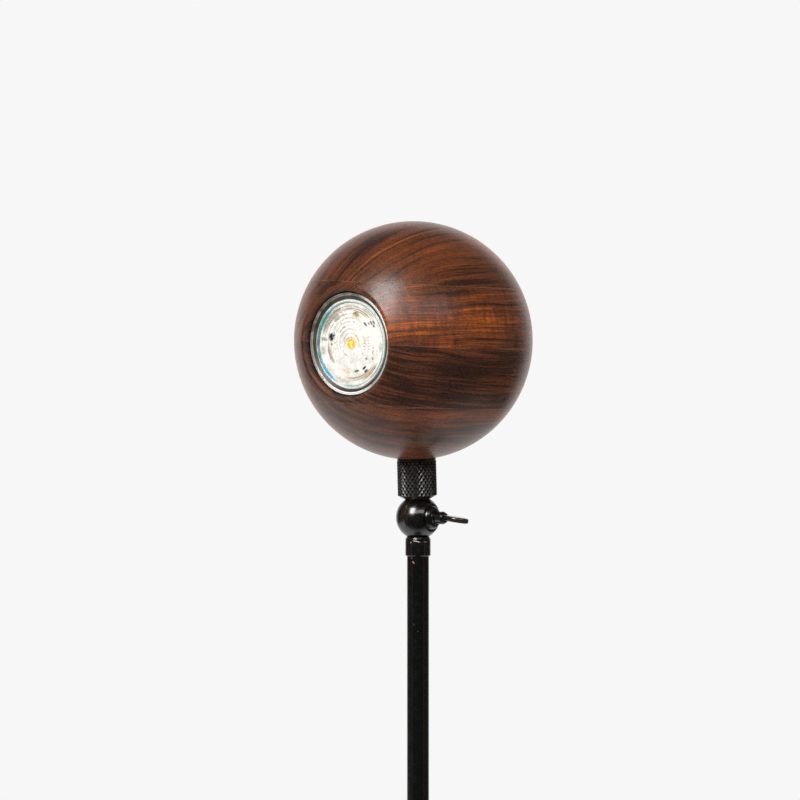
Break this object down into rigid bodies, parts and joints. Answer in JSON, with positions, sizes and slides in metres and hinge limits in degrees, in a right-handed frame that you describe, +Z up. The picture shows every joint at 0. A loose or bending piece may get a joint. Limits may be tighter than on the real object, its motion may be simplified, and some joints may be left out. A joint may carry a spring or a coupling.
{
  "type": "magnetic ball lamp",
  "caption": "Table lamp: a wooden ball with a recessed reflector lamp sits on a magnet in a knurled cup, over a clamped ball swivel on a thin pole with a round weighted base.",
  "frame": {"origin": "centre of the underside of the base, on the pole's axis", "axes": "+Z up along the pole; -Y towards the side that the lamp mostly faces; +X to the right seen from that side"},
  "size_m": [0.15, 0.15, 0.4885],
  "materials": {
    "walnut": "oiled walnut, satin",
    "black_metal": "blackened brass, satin, worn to bare metal in spots",
    "base_iron": "black powder coat",
    "pad": "matt",
    "steel": "plain zinc-plated steel",
    "nickel": "nickel plate",
    "brass": "bright",
    "black_plastic": "matt",
    "white_plastic": "matt white",
    "black_rubber": "matt",
    "lead_sleeve": "silicone sleeve",
    "lamp_glass": "clear pressed glass with a thin dichroic film",
    "lamp_lens": "clear prismatic lens",
    "aluminium": "plain",
    "phosphor": "yellow phosphor gel",
    "ceramic": "unglazed"
  },
  "bodies": {
    "stand": {"base_pad": "pad", "base_disc": "base_iron", "cord_inlet": "black_rubber", "foot_washer": "steel", "foot_nut": "steel", "foot_nipple": "steel", "foot_ring": "black_metal", "pole": "black_metal", "pole_nipple": "steel", "pole_collar": "black_metal", "switch_body": "black_plastic", "switch_bezel": "steel", "switch_nut": "steel", "switch_spring": "steel", "swivel_lower": "black_metal"},
    "switch_button": {"switch_button": "black_plastic"},
    "thumb_screw": {"thumb_screw": "black_metal"},
    "head": {"swivel_upper": "black_metal", "dome_washer": "black_metal", "spring_washer": "black_metal", "slide_washer": "steel", "neck_clip": "steel"},
    "cup": {"knurled_cup": "black_metal", "magnet_spacer": "black_plastic", "cup_magnet": "nickel", "cup_insulator": "black_plastic", "cup_contact": "brass"},
    "ball": {"ball_board_bottom": "walnut", "ball_board_lower": "walnut", "ball_board_upper": "walnut", "ball_board_top": "walnut", "ball_plate": "steel", "ball_plate_screws": "steel", "ball_insulator": "black_plastic", "ball_contact": "brass", "ball_leads": "lead_sleeve", "lamp_holder": "ceramic", "holder_screws": "steel", "lamp_base": "white_plastic", "lamp_pins": "brass", "lamp_glass": "lamp_glass", "lamp_lens": "lamp_lens", "lamp_beam_cone": "white_plastic", "lamp_chip_board": "aluminium", "lamp_chip": "phosphor", "lamp_heat_sink": "aluminium"}
  },
  "joints": [
    {"name": "switch_press", "type": "slide", "parent": "stand", "child": "switch_button", "axis": [0, 0, -1], "range_m": [0, 0.0015], "stiffness_N_per_m": 400, "springref_m": -0.001, "deforming": ["switch_spring"]},
    {"name": "clamp_screw_turn", "type": "hinge", "parent": "stand", "child": "thumb_screw", "pos_m": [0, 0, 0.3395], "axis": [0.809, -0.5878, 0], "range_deg": [0, 360]},
    {"name": "head_tilt", "type": "hinge", "parent": "stand", "child": "head", "pos_m": [0, 0, 0.3395], "axis": [0.809, -0.5878, 0], "range_deg": [-92.6, 87.4]},
    {"name": "cup_turn", "type": "hinge", "parent": "head", "child": "cup", "pos_m": [0, 0, 0.3395], "axis": [-0.0267, -0.0367, 0.999], "range_deg": [-175, 175]},
    {"name": "ball_lift", "type": "slide", "parent": "cup", "child": "ball", "axis": [-0.0267, -0.0367, 0.999], "range_m": [0, 0.08]}
  ]
}
